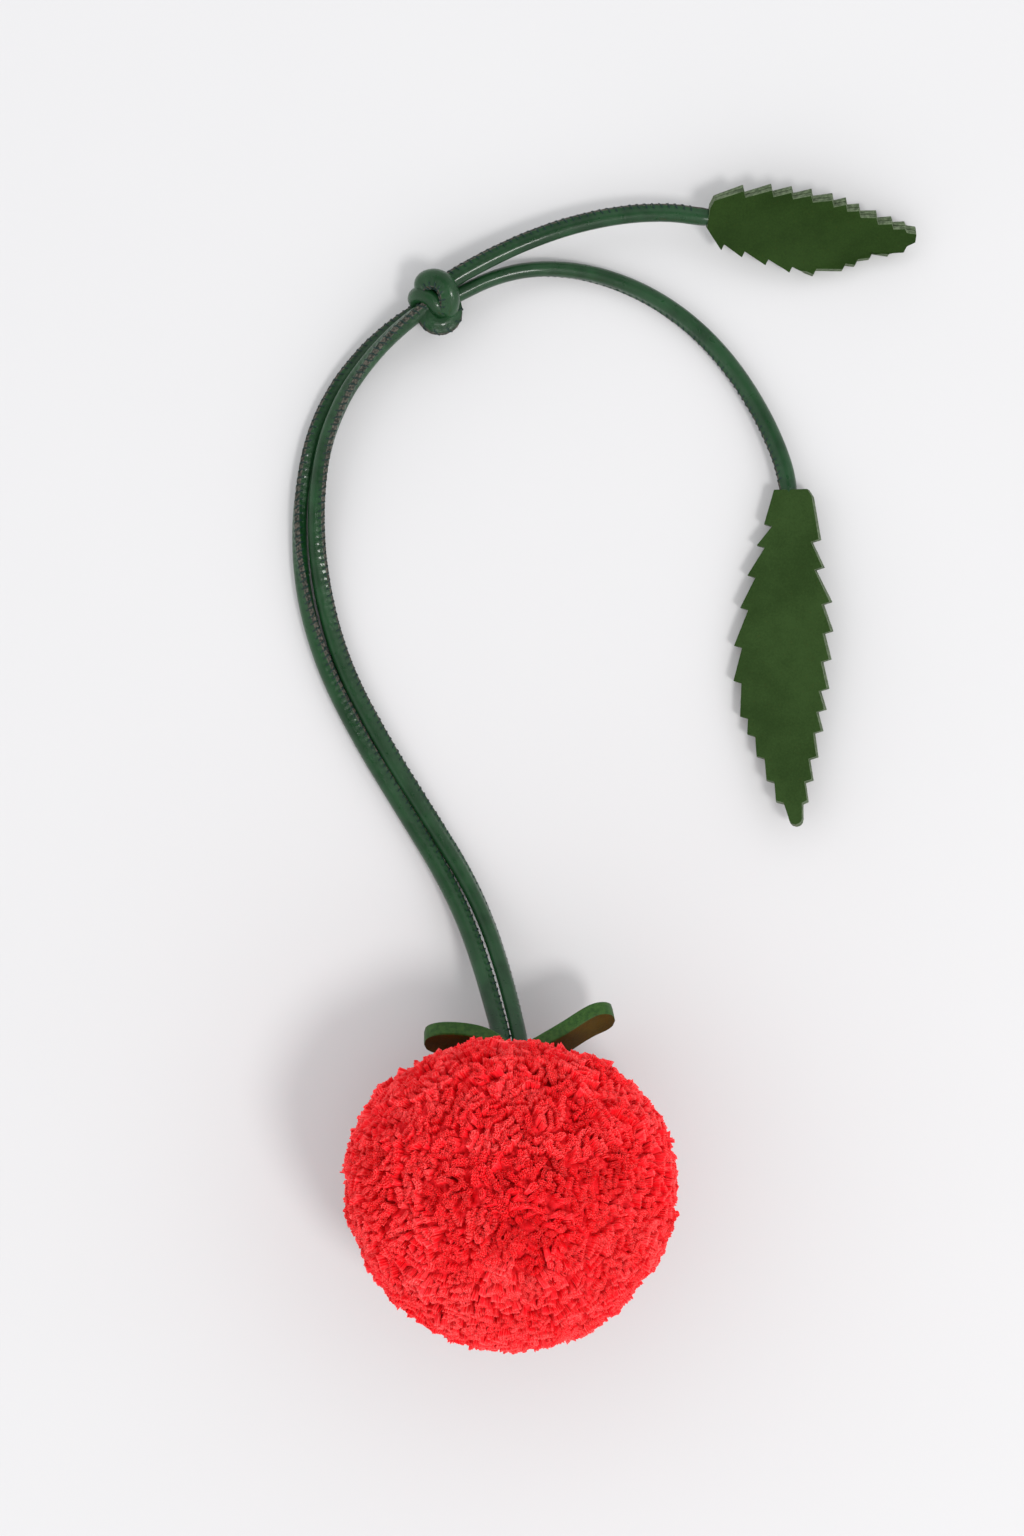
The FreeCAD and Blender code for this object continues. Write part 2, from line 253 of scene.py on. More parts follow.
def route_points(name, points, spacing):
    """Even points along the smooth line of a cord's route, which is given in millimetres."""
    curve = bpy.data.curves.new(name + "_route", "CURVE")
    curve.dimensions = "3D"
    curve.resolution_u = 24
    spline = curve.splines.new("NURBS")
    spline.points.add(len(points) - 1)
    for point, place in zip(spline.points, points):
        point.co = (*(Vector(place) * MM), 1)
    spline.order_u = 3
    spline.use_endpoint_u = True
    holder = bpy.data.objects.new(name + "_route", curve)
    line = bpy.data.meshes.new_from_object(holder)
    fine = np.array([v.co for v in line.vertices])
    bpy.data.objects.remove(holder)
    bpy.data.meshes.remove(line)
    reach = np.concatenate([[0], np.cumsum(np.linalg.norm(np.diff(fine, axis=0), axis=1))])
    stations = np.linspace(0, reach[-1], max(4, round(reach[-1] / spacing) + 1))
    even = np.stack([np.interp(stations, reach, fine[:, axis]) for axis in range(3)], axis=1)
    return [Vector(p) for p in even], stations


def travel_frames(points, up):
    """At each point the direction of travel, up and right, carried along without twist."""
    frames = []
    upward = Vector(up)
    for index in range(len(points)):
        ahead = points[min(index + 1, len(points) - 1)] - points[max(index - 1, 0)]
        ahead.normalize()
        upward = (upward - ahead * upward.dot(ahead)).normalized()
        frames.append((ahead, upward, ahead.cross(upward)))
    return frames


def cord_finish():
    """Smooth dyed leather with a waxy gloss, raw and grey-brown along the seam's cut edges."""
    finish = Finish("cord_leather", Specular_IOR_Level=0.34, Coat_Roughness=0.1)
    patches = finish.noise(140.0, 4.0)
    smooth = finish.mix(patches.ramp(0.3, 0.7), shade(16, 50, 25), shade(28, 64, 36))
    raw = finish.mix(finish.noise(1500.0, 3.0).ramp(0.35, 0.65), shade(34, 42, 36), shade(84, 80, 72))
    cut = finish.attribute("raw")
    finish.colour(finish.mix(cut.ramp(0.3, 0.8), smooth, raw))
    finish.roughness(cut * 0.45 + finish.noise(420.0).ramp(0.3, 0.7) * 0.1 + 0.27)
    finish.put((cut * -0.5 + 0.35).ramp(0.0, 0.9), finish.shader.inputs["Coat Weight"])
    finish.bump(finish.grain(2300.0).ramp(0.0, 0.25) + finish.noise(900.0) * 0.8, 0.05 * MM, 0.5)
    return finish.material


def thread_finish():
    """Waxed dark teal sewing thread, with its twist."""
    finish = Finish("thread", Specular_IOR_Level=0.4)
    twist = finish.noise(3800.0, 1.0)
    finish.colour(finish.mix(twist, shade(8, 30, 27), shade(22, 56, 50)))
    finish.roughness(twist * 0.2 + 0.4)
    finish.bump(twist, 0.08 * MM, 0.7)
    return finish.material


CORD = cord_finish()
THREAD = thread_finish()
CORD_STEP = 0.5 * MM
STITCH_PITCH = 2.1 * MM
THREAD_R = 0.27 * MM
TABLE_GAP = 0.05 * MM
# The dye is rubbed off this far round on each side of the seam, and the stitches draw the
# leather in this deep and this far round.
RAW_ANGLE = math.radians(16)
PULL_DEPTH = 0.28 * MM
PULL_ANGLE = math.radians(52)
# The share of the girth that is left at the end of a pared cord.
PARED_GIRTH = 0.55
# A stitch's reach along the cord, as a share of the pitch, and round it on each side, how far it
# is from the core line at its top and how much lower at its ends, in millimetres, and its mesh.
STITCH_REACH = 0.42
STITCH_ANGLE = math.radians(37)
STITCH_TOP = 2.98
STITCH_DROP = 0.98
STITCH_RINGS = 7
STITCH_SIDES = 5
# Degrees from the seam's middle, and how far the surface stands there from the cord's core line.
SEAM_SECTION = [(0, 2.66), (6, 2.92), (13, 2.93), (19, 2.72), (27, 2.44), (36, 2.27), (48, 2.22),
                (66, 2.25), (88, 2.25), (110, 2.25), (132, 2.25), (156, 2.25), (180, 2.25)]


def cord_section():
    """The whole section, one way round: angle from the seam in radians and radius in metres."""
    half = [(math.radians(a), r * MM) for a, r in SEAM_SECTION]
    return half + [(2 * math.pi - a, r) for a, r in half[-2:0:-1]]


def seam_angle(seam, share):
    """The seam's place round the cord, in radians from the top towards the right."""
    return math.radians(np.interp(share, [s for s, _ in seam], [a for _, a in seam]))


def sew_cord(name, points, stations, seam, swell=1.0, skived=0.0, wear=1.0):
    """A cord along points and its stitches; seam lists (share of the length, degrees).

    The last skived metres are pared down to go between the two plies of a leaf, and wear is
    how far the seam's dye has rubbed off."""
    frames = travel_frames(points, (0, 0, 1))
    section = cord_section()
    vertices = []
    raw = []
    for point, (_, upward, right), station in zip(points, frames, stations):
        start = seam_angle(seam, station / stations[-1])
        pull = 0.5 + 0.5 * math.cos(2 * math.pi * station / STITCH_PITCH)
        left = (stations[-1] - station) / skived if skived else 1.0
        girth = swell * (PARED_GIRTH + (1 - PARED_GIRTH) * min(1.0, left))
        for angle, radius in section:
            from_seam = min(angle, 2 * math.pi - angle)
            near = max(0.0, 1.0 - from_seam / PULL_ANGLE)
            radius -= (pull - 0.4) * PULL_DEPTH * math.sin(math.pi * min(1.0, near * 1.15))
            out = upward * math.cos(start + angle) + right * math.sin(start + angle)
            place = point + out * radius * girth
            place.z = max(place.z, TABLE_GAP)
            vertices.append(place)
            raw.append(wear if from_seam < RAW_ANGLE else 0.0)
    count = len(section)
    faces = ring_faces(len(points), count)
    faces.append(tuple(range(count))[::-1])
    faces.append(tuple(range(len(vertices) - count, len(vertices))))
    cord = new_piece(name, vertices, faces, [CORD])
    set_attribute(cord, "raw", raw)

    stitch_vertices = []
    stitch_faces = []
    for number in range(1, int((stations[-1] - skived) / STITCH_PITCH)):
        path = []
        for share in np.linspace(-1, 1, STITCH_RINGS):
            along = number * STITCH_PITCH + share * STITCH_REACH * STITCH_PITCH
            index = min(len(points) - 1, max(0, round(along / (stations[1] - stations[0]))))
            _, upward, right = frames[index]
            turn = seam_angle(seam, stations[index] / stations[-1]) + share * STITCH_ANGLE
            lift = STITCH_TOP - STITCH_DROP * abs(share) ** 1.6
            out = upward * math.cos(turn) + right * math.sin(turn)
            path.append((points[index] + out * lift * swell * MM, out))
        first = len(stitch_vertices)
        for index, (place, out) in enumerate(path):
            ahead = path[min(index + 1, STITCH_RINGS - 1)][0] - path[max(index - 1, 0)][0]
            side = ahead.cross(out).normalized()
            for corner in range(STITCH_SIDES):
                a = 2 * math.pi * corner / STITCH_SIDES
                corner_place = place + (side * math.cos(a) + out * math.sin(a)) * THREAD_R
                corner_place.z = max(corner_place.z, TABLE_GAP)
                stitch_vertices.append(corner_place)
        stitch_faces += ring_faces(STITCH_RINGS, STITCH_SIDES, first)
    stitches = new_piece(name + "_stitches", stitch_vertices, stitch_faces, [THREAD])
    return cord, stitches


# The route's points, in millimetres, are the frame's own.
LEG_LEFT = [(-2.05, 30.6, 27.2), (-2.05, 38.6, 22.9), (-4.9, 48.6, 17.0), (-8.6, 61.0, 10.9),
            (-13.6, 74.6, 6.2), (-20.6, 88.6, 3.5), (-29.6, 103.2, 2.5), (-42.9, 124.8, 2.4),
            (-53.9, 146.2, 2.4), (-60.2, 168.0, 2.4), (-61.4, 189.8, 2.4), (-57.8, 210.8, 2.4),
            (-51.4, 225.2, 2.6), (-43.6, 235.6, 3.2), (-35.2, 243.4, 4.5), (-26.2, 249.3, 6.0),
            (-21.8, 252.0, 6.6)]
LEG_RIGHT = [(3.25, 30.6, 27.2), (3.25, 38.6, 22.9), (0.9, 48.6, 17.0), (-2.6, 61.0, 10.9),
             (-7.4, 74.6, 6.2), (-14.2, 88.2, 3.5), (-23.4, 102.6, 2.5), (-36.8, 124.0, 2.4),
             (-48.6, 146.0, 2.4), (-55.0, 168.2, 2.7), (-56.8, 189.0, 4.7), (-54.4, 209.4, 6.7),
             (-48.8, 223.8, 7.5), (-42.0, 233.8, 8.1), (-34.4, 242.0, 9.3), (-26.0, 248.7, 10.6),
             (-22.0, 251.2, 9.6)]
END_A = [(-21.6, 254.6, 9.6), (-16.8, 258.0, 9.4), (-7.5, 263.3, 8.8), (4.0, 268.9, 8.2),
         (17.8, 273.8, 8.0), (32.4, 276.8, 8.1), (45.6, 277.3, 8.6), (54.8, 275.8, 9.15),
         (64.0, 275.2, 8.7)]
END_B = [(-19.8, 251.8, 7.2), (-14.4, 254.7, 6.7), (-5.2, 259.4, 5.5), (5.6, 262.2, 4.0),
         (18.0, 262.2, 2.8), (30.2, 259.4, 2.4), (42.6, 253.8, 2.4), (54.4, 245.2, 2.4),
         (64.4, 234.2, 2.4), (72.4, 221.6, 3.0), (77.8, 209.8, 4.2), (80.6, 199.8, 4.85), (81.1, 190.0, 4.95)]
# Where each cord's seam is: the share of its length, and degrees from the top.
SEAMS = {
    "cord_left": [(0, 88), (0.25, 84), (0.4, 66), (0.52, 38),
                  (0.62, 5), (0.72, -40), (0.82, -70), (1, -95)],
    "cord_right": [(0, 150), (0.2, 125), (0.34, 88), (0.48, 70),
                   (0.62, 62), (0.74, 34), (0.86, 2), (1, -42)],
    "cord_a": [(0, -62), (0.4, -66), (1, -72)],
    "cord_b": [(0, 180), (0.3, 150), (0.6, 110), (1, 78)]}

# The pared length that is glued between a leaf's plies.
SKIVED = 9 * MM

cords = {}
for name, route, skived in (("cord_left", LEG_LEFT, 0), ("cord_right", LEG_RIGHT, 0),
                            ("cord_a", END_A, SKIVED), ("cord_b", END_B, SKIVED)):
    line, stations = route_points(name, route, CORD_STEP)
    cord, stitches = sew_cord(name, line, stations, SEAMS[name], skived=skived)
    cords[name] = (cord, stitches, line, stations[-1])


# ---------------------------------------------------------------- knot
# A tight overhand knot in the doubled cord, made of the same sewn cord: three turns show on
# top and two pass beneath, round the legs and the ends that run in.

# Each turn's route, its seam's degrees from the top at mid-turn and how much it is swollen.
KNOT_TURNS = {
    "over": ([(-23.6, 253.6, 8.8), (-26.0, 256.6, 10.8), (-22.6, 258.4, 13.2), (-19.0, 257.2, 14.0),
              (-17.2, 253.9, 13.8), (-17.2, 250.6, 12.0), (-18.2, 248.4, 8.8), (-20.4, 248.6, 6.2)],
             70, 1.2),
    "left": ([(-22.4, 250.2, 4.2), (-26.2, 251.2, 5.6), (-27.5, 253.2, 8.6), (-25.4, 253.9, 11.2),
              (-22.6, 252.2, 12.0), (-20.8, 250.0, 11.4), (-19.2, 248.4, 9.0), (-19.0, 248.2, 6.4)],
             180, 1.12),
    "lower": ([(-23.4, 252.0, 8.4), (-23.9, 249.4, 9.6), (-23.4, 246.7, 9.8), (-20.9, 245.2, 9.4),
               (-18.0, 246.2, 9.0), (-17.0, 248.6, 8.8), (-17.4, 251.2, 7.4), (-19.2, 253.0, 6.4)],
              80, 1.14),
    "under_left": ([(-18.0, 256.2, 6.0), (-22.0, 256.8, 4.4), (-24.6, 255.2, 3.2), (-25.0, 252.2, 3.0),
                    (-23.6, 249.6, 3.6), (-21.0, 248.8, 5.6)], 120, 1.08),
    "under_right": ([(-22.4, 247.6, 5.6), (-20.0, 246.0, 3.8), (-17.6, 247.6, 3.1), (-17.0, 251.4, 3.1),
                     (-18.0, 255.0, 4.0), (-20.8, 255.8, 5.8)], 150, 1.08)}

knot_pieces = []
for name, (route, seam, swell) in KNOT_TURNS.items():
    line, stations = route_points("knot_" + name, route, CORD_STEP)
    _, upward, right = travel_frames(line, (0, 0, 1))[len(line) // 2]
    seam += math.degrees(math.atan2(right.z, upward.z))
    turn, stitches = sew_cord("knot_" + name, line, stations, [(0, seam), (1, seam)], swell,
                              wear=0.7)
    knot_pieces += [turn, stitches]
for piece in knot_pieces:
    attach(piece, "cord")
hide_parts("cord_knot")

for name, node, route, start, end in (
        ("cord_left", "cord_leg_left", LEG_LEFT, (-2.0, 36.0, 24.4), (-4.0, 46.0, 18.6)),
        ("cord_right", "cord_leg_right", LEG_RIGHT, (3.2, 36.0, 24.4), (1.6, 46.0, 18.6))):
    cord, stitches, line, length = cords[name]
    for piece in (cord, stitches):
        Vector(start) * MM
        Vector(end) * MM
        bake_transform(piece)
    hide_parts(node)
    Vector(route[1]) * MM
    [stitches] + (knot_pieces if name == "cord_left" else [])
    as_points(line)


# ---------------------------------------------------------------- leaves
# Each leaf is two plies of matte leather glued back to back round the cord's tip and cut
# together with saw teeth that point to the leaf's tip. The cut edge shows both plies.

def leather_finish(name, low, high, roughness, grain=1500.0):
    """Matte fine-grained leather, slightly mottled."""
    finish = Finish(name, Specular_IOR_Level=0.08)
    patches = finish.noise(70.0, 5.0, rough=0.6)
    speckle = finish.noise(1900.0, 2.0)
    finish.colour(finish.mix((patches + speckle * 0.6).ramp(0.5, 1.1), low, high))
    finish.roughness(speckle * 0.15 + roughness)
    finish.bump(finish.grain(grain).ramp(0.0, 0.2) + speckle, 0.06 * MM, 0.45)
    return finish.material


def edge_finish(name, low, high, roughness=0.6):
    """The cut edge of a leather ply: fibres and paint that has rubbed off in places."""
    finish = Finish(name, Specular_IOR_Level=0.25)
    fibres = finish.noise(900.0, 4.0, rough=0.65)
    finish.colour(finish.mix(fibres.ramp(0.32, 0.66), low, high))
    finish.roughness(fibres * 0.2 + roughness)
    finish.bump(fibres, 0.12 * MM, 0.7)
    return finish.material


# Both leaves are one leather. Leaf B's copy is painted lighter than leaf A's, as painted light.
LEAF_FACE = {"leaf_a": leather_finish("leaf_a_leather", shade(31, 49, 17), shade(40, 60, 25), 0.55),
             "leaf_b": leather_finish("leaf_b_leather_painted_lighter", shade(37, 55, 25), shade(47, 67, 34), 0.55)}
LEAF_EDGE = edge_finish("leaf_cut_edge", shade(54, 68, 44), shade(96, 110, 84))
PLY = 2.1
# A notch ends this far past its tooth's tip, and cuts no more than this share of the half width.
NOTCH_RUN = 0.7
NOTCH_SHARE = 0.42
# How far each face of a ply is inside its thickness, how much its edges are softened, and how
# far the back ply stays off the table.
FACE_INSET = 0.08
EDGE_SOFTNESS = 0.16
BACK_GAP = 0.1
# The flat ply is cut into cells this long and wide, between these sides, so that it can bend.
CELL_LONG = 2.4
CELL_WIDE = 1.6
SIDES = (-17.2, 12.0)
# Distances from the mouth and half widths, across the leaf's own face, of each tooth's tip.
LEAVES = {
    "leaf_a": {
        "mouth": (56.4, 275.7, 9.2), "tip": (117.2, 271.7, 5.3), "roll": 22.0, "tooth": 1.8,
        "collar": [(0.0, -2.6), (0.4, 3.5), (1.4, 5.9)],
        "up_side": [(9.5, 9.3), (17.5, 10.1), (23.3, 9.9), (29.0, 9.4), (35.1, 8.5),
                    (39.1, 7.6), (43.1, 6.2), (48.3, 4.7), (52.9, 3.4), (56.9, 2.3)],
        "down_side": [(4.6, 8.7), (10.7, 10.3), (17.7, 12.1), (24.5, 13.6), (32.0, 14.2),
                      (40.3, 12.0), (43.8, 10.4), (47.9, 7.9), (53.3, 6.5), (57.4, 4.2)],
        "end_half_width": 1.3, "end_turns": (60, -60), "twist": (22.0, 0.014),
        # Twist: where it starts, and how fast. Cup: the slope across the lower side, where it
        # starts to rise more, and how fast.
        "cup": (0.325, -2.0, 0.045), "tip_curl": (40.0, 0.0)},
    "leaf_b": {
        "mouth": (80.9, 198.2, 4.95), "tip": (82.0, 101.4, 4.95), "roll": 9.0, "tooth": 2.3,
        "collar": [(0.0, -4.9), (0.0, 4.9), (2.2, 6.2)],
        "up_side": [(14.6, 8.1), (22.6, 9.0), (32.6, 11.0), (41.0, 11.2), (49.1, 10.6),
                    (57.5, 9.9), (63.5, 9.1), (69.6, 8.1), (77.1, 6.6), (83.7, 5.1), (89.8, 3.6)],
        "down_side": [(9.8, 7.9), (15.9, 10.1), (24.5, 12.9), (33.8, 15.1), (44.7, 17.0),
                      (54.9, 17.3), (65.2, 15.5), (70.4, 13.5), (76.8, 10.9), (83.7, 8.2), (89.8, 5.6)],
        "end_half_width": 2.0, "end_turns": (90, 60, 30, 0, -30, -60, -90), "twist": (60.0, 0.0),
        "cup": (0.1, -6.0, 0.0145), "tip_curl": (62.0, 3.6)}}


def leaf_outline(leaf, length):
    """The saw-toothed outline, counter-clockwise, as seen from the face."""
    narrow = math.cos(math.radians(leaf["roll"]))
    points = list(leaf["collar"])
    half = leaf["end_half_width"]
    sides = []
    for tips, sign in ((leaf["up_side"], 1), (leaf["down_side"], -1)):
        side = []
        for distance, width in tips:
            side.append((distance, sign * width))
            side.append((distance + NOTCH_RUN, sign * (width - min(leaf["tooth"], NOTCH_SHARE * width))))
        sides.append(side)
    turns = [math.radians(a) for a in leaf["end_turns"]]
    end = [(length - half + half * math.cos(a), half * math.sin(a)) for a in turns]
    points += sides[0] + end + sides[1][::-1]
    return [(x, y * narrow) for x, y in points][::-1]


def leaf_ply(name, leaf, side):
    """One ply, cut flat with softened edges and then cupped and curled."""
    mouth = Vector(leaf["mouth"])
    run = Vector(leaf["tip"]) - mouth
    fall = run.z
    length = run.length
    ahead = Vector((run.x, run.y, 0)).normalized()
    across = Vector((0, 0, 1)).cross(ahead)
    slope, knee, rise = leaf["cup"]
    curl_start, curl_height = leaf["tip_curl"]
    twist_start, twist_rate = leaf["twist"]
    resting = PLY + BACK_GAP - mouth.z

    def height(x, y):
        """The height of the glue line over the mouth, down to where the back ply is on the table."""
        cup = slope * y + rise * max(0.0, y - knee) ** 2 / 2 - rise * knee ** 2 / 2
        curl = curl_height * max(0.0, (x - curl_start) / (length - curl_start)) ** 2
        twist = twist_rate * max(0.0, x - twist_start) * y
        return max(resting, fall * x / length + cup + curl + twist)

    shape = bmesh.new()
    corners = [shape.verts.new((x, y, 0)) for x, y in leaf_outline(leaf, length)]
    face = shape.faces.new(corners)
    made = bmesh.ops.extrude_face_region(shape, geom=[face])
    top = [v for v in made["geom"] if isinstance(v, bmesh.types.BMVert)]
    for vertex in top:
        vertex.co.z = PLY - FACE_INSET
    for vertex in corners:
        vertex.co.z = FACE_INSET
    bmesh.ops.recalc_face_normals(shape, faces=shape.faces)
    bmesh.ops.bevel(shape, geom=list(shape.edges), offset=EDGE_SOFTNESS, segments=2,
                     profile=0.6, affect="EDGES")
    bmesh.ops.triangulate(shape, faces=[f for f in shape.faces if len(f.verts) > 4])
    for axis, step, first, last in ((0, CELL_LONG, CELL_LONG / 2, length), (1, CELL_WIDE, *SIDES)):
        cut = first
        while cut < last:
            normal = Vector((0, 0, 0))
            normal[axis] = 1
            geometry = list(shape.verts) + list(shape.edges) + list(shape.faces)
            bmesh.ops.bisect_plane(shape, geom=geometry, plane_co=normal * cut, plane_no=normal)
            cut += step
    shape.normal_update()
    for face in shape.faces:
        face.smooth = True
        face.material_index = 0 if abs(face.normal.z) > 0.85 else 1
    for edge in shape.edges:
        edge.smooth = len(edge.link_faces) == 2 and edge.calc_face_angle() < math.radians(24)
    for vertex in shape.verts:
        x, y, lift = vertex.co
        small = 0.05
        normal = Vector((-(height(x + small, y) - height(x - small, y)) / (2 * small),
                         -(height(x, y + small) - height(x, y - small)) / (2 * small), 1)).normalized()
        place = mouth + ahead * x + across * y + Vector((0, 0, height(x, y)))
        place += (ahead * normal.x + across * normal.y + Vector((0, 0, normal.z))) * lift * side
        vertex.co = place * MM
    if side < 0:
        bmesh.ops.reverse_faces(shape, faces=shape.faces)
    ply_name = name + ("_face" if side > 0 else "_back")
    mesh = bpy.data.meshes.new(ply_name)
    shape.to_mesh(mesh)
    shape.free()
    mesh.materials.append(LEAF_FACE[name])
    mesh.materials.append(LEAF_EDGE)
    piece = bpy.data.objects.new(ply_name, mesh)
    bpy.context.collection.objects.link(piece)
    return piece


leaf_pieces = {}
for name, leaf in LEAVES.items():
    plies = [leaf_ply(name, leaf, 1), leaf_ply(name, leaf, -1)]
    for ply, part in zip(plies, ("_face_ply", "_back_ply")):
        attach(ply, name)
        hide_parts(name + part)
    leaf_pieces[name] = plies

for name, node, tail, leaf, route, start in (
        ("cord_a", "cord_end_a", "tail_a", "leaf_a", END_A, (51.0, 276.9, 8.9)),
        ("cord_b", "cord_end_b", "tail_b", "leaf_b", END_B, (80.0, 203.5, 4.7))):
    cord, stitches, line, length = cords[name]
    for piece in (cord, stitches):
        Vector(start) * MM
        Vector(route[-2]) * MM
        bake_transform(piece)
    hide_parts(node)
    Vector(route[1]) * MM
    [stitches] + leaf_pieces[leaf]
    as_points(line)


# ---------------------------------------------------------------- calyx
# One thick piece of leather, bent to a V at the hole where the cord leaves it, with a blunt
# rounded lobe curving out to each side. Its edges are painted green. Its back is bare flesh, coloured
# brown-red as a painted reflection of the red pompom that it faces.

CALYX_FACE = leather_finish("calyx_leather", shade(24, 54, 26), shade(34, 68, 34), 0.42)
CALYX_EDGE = edge_finish("calyx_painted_edge", shade(34, 66, 22), shade(50, 82, 32), 0.42)
# The back's brown-red is a painted reflection of the red pompom that it faces.
CALYX_BACK_PAINTED_REFLECTION = leather_finish("calyx_back_painted_red_reflection", shade(58, 44, 8), shade(78, 62, 16), 0.7, 900.0)
CALYX_CENTRE = Vector((0.9, 34.2, 25.2))
CALYX_TILT = math.radians(25)
CALYX_OUT = Vector((0, math.cos(CALYX_TILT), -math.sin(CALYX_TILT)))
CALYX_WIDE = Vector((0, math.sin(CALYX_TILT), math.cos(CALYX_TILT)))
CALYX_HALF_WIDTH = 8.5
CALYX_HALF_THICK = 1.9
TIP_ROUNDING = 9.0
THIN_TIP = 0.25
LOBE_STEP = 0.55 * MM
LOBE_COLUMNS = 15
# How far the softened edge comes in from the side, and down from the face.
EDGE_IN = 0.3
EDGE_DOWN = 0.35
# Sideways and outwards from the calyx's centre, along the middle of the leather.
LOBE_LINES = {
    "calyx_left": [(1.5, 0.4), (-1.5, 1.6), (-5.0, 4.9), (-9.0, 6.9), (-14.0, 7.9), (-19.0, 8.2),
                   (-25.4, 8.1)],
    "calyx_right": [(-1.5, 0.2), (1.8, 0.6), (5.6, 2.9), (10.0, 5.6), (15.0, 8.7), (20.0, 12.2),
                    (24.0, 14.4), (28.4, 15.2)]}


def sharpen(piece, degrees):
    """Keep shading crisp across edges that turn by more than this."""
    shape = bmesh.new()
    shape.from_mesh(piece.data)
    bmesh.ops.recalc_face_normals(shape, faces=shape.faces)
    for edge in shape.edges:
        if len(edge.link_faces) == 2 and edge.calc_face_angle(0) > math.radians(degrees):
            edge.smooth = False
    shape.to_mesh(piece.data)
    shape.free()


def calyx_lobe(name):
    """One half of the calyx: a thick strip along its line, rounded off at the lobe's tip."""
    line = [(x, y, 0) for x, y in LOBE_LINES[name]]
    points, stations = route_points(name, line, LOBE_STEP)
    points = [p / MM for p in points]
    length = stations[-1] / MM
    shares = np.linspace(-1, 1, LOBE_COLUMNS)
    vertices = []
    for index, point in enumerate(points):
        ahead = (points[min(index + 1, len(points) - 1)] - points[max(index - 1, 0)]).normalized()
        outwards = Vector((-ahead.y, ahead.x, 0)) * (1 if ahead.x > 0 else -1)
        left = length - stations[index] / MM
        half = CALYX_HALF_WIDTH * (1 - max(0.0, 1 - left / TIP_ROUNDING) ** 3) ** 0.42
        half = max(half, THIN_TIP)
        ring = [(s * (half - EDGE_IN), CALYX_HALF_THICK) for s in shares]
        ring += [(half, CALYX_HALF_THICK - EDGE_DOWN), (half, -CALYX_HALF_THICK + EDGE_DOWN)]
        ring += [(s * (half - EDGE_IN), -CALYX_HALF_THICK) for s in shares[::-1]]
        ring += [(-half, -CALYX_HALF_THICK + EDGE_DOWN), (-half, CALYX_HALF_THICK - EDGE_DOWN)]
        for wide, thick in ring:
            flat = point + outwards * thick
            place = CALYX_CENTRE + Vector((flat.x, 0, 0)) + CALYX_OUT * flat.y + CALYX_WIDE * wide
            vertices.append(place * MM)
    count = 2 * len(shares) + 4
    faces = ring_faces(len(points), count)
    # Face, edge, back with its painted red reflection, and edge again, all the way round each ring.
    kinds = [0] * (LOBE_COLUMNS - 1) + [2] * 3 + [1] * (LOBE_COLUMNS - 1) + [2] * 3
    kinds *= len(points) - 1
    if name == "calyx_left":
        faces = [face[::-1] for face in faces]
    faces.append(tuple(range(count)) if name == "calyx_left" else tuple(range(count))[::-1])
    last = tuple(range(len(vertices) - count, len(vertices)))
    faces.append(last[::-1] if name == "calyx_left" else last)
    kinds += [2, 2]
    piece = new_piece(name, vertices, faces, [CALYX_FACE, CALYX_BACK_PAINTED_REFLECTION, CALYX_EDGE], kinds)
    sharpen(piece, 35)
    return piece


def on_calyx(x, outwards):
    """A place on the middle of the calyx's leather, in metres."""
    return (CALYX_CENTRE + Vector((x, 0, 0)) + CALYX_OUT * outwards) * MM


for name, body, near, far in (("calyx_left", "lobe_left", (-6.0, 3.8), (-11.5, 7.0)),
                              ("calyx_right", "lobe_right", (6.0, 3.2), (11.5, 6.6))):
    piece = calyx_lobe(name)
    on_calyx(*near)
    on_calyx(*far)
    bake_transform(piece)
    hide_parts("calyx_" + body)
    if name == "calyx_left":
        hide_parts("calyx_lobe_left", "calyx_centre")


# ---------------------------------------------------------------- pompom
# Several thousand strips of crinkled red raffia, tied at the middle, fanned out to a ball
# and trimmed. Each strip is folded on itself across its width and pleated along its length.

def raffia_finish(name, painted_gap_shade, body, edge):
    """Crinkled paper raffia with fine pleats along each strip: painted shade deep among the strips, painted
    highlights on the pleats and the ends' fold ridges, and a random tone.
    """
    finish = Finish(name, Specular_IOR_Level=0.12)
    place = finish.add("UVMap", uv_map="strip")
    stretched = finish.add("Mapping", {"Vector": place, "Scale": (1.0, 0.12, 1.0)})
    pleats = finish.noise(2600.0, 2.0, stretched)
    tone = finish.attribute("tone")
    # The "tip" share is painted light. It is low deep among the strips and in the core's hollows, which get
    # the painted shade colour, and high on the ends' fold ridges.
    tip = finish.attribute("tip")
    # The edge colour is a painted highlight on the pleats and fold ridges. It is also the pale end of each
    # strip's random tone.
    tone_and_highlight = pleats.ramp(0.3, 0.7) * 0.5 + tone * 0.3 + tip.ramp(0.7, 1.0) * 0.45
    base = finish.mix(tone_and_highlight.ramp(0.2, 1.3), body, edge)
    finish.colour(finish.mix(tip.ramp(0.05, 0.6), painted_gap_shade, base))
    finish.roughness(pleats.ramp(0.2, 0.8) * 0.2 + 0.5)
    finish.bump(pleats, 0.15 * MM, 0.6)
    return finish.material


# Painted shade for the gaps among the strips, the raffia's own red, and a painted highlight for the ridges
# and pleats.
RAFFIA = raffia_finish("raffia", shade(198, 2, 20), shade(243, 31, 43), shade(255, 120, 118))
POMPOM_CENTRE = Vector((0, 0, 42.3))
POMPOM_RADII = Vector((45.7, 41.8, 42.7))
STRIP_COUNT = 3700
CLUMP_COUNT = 380
FOLD_POINTS = 11
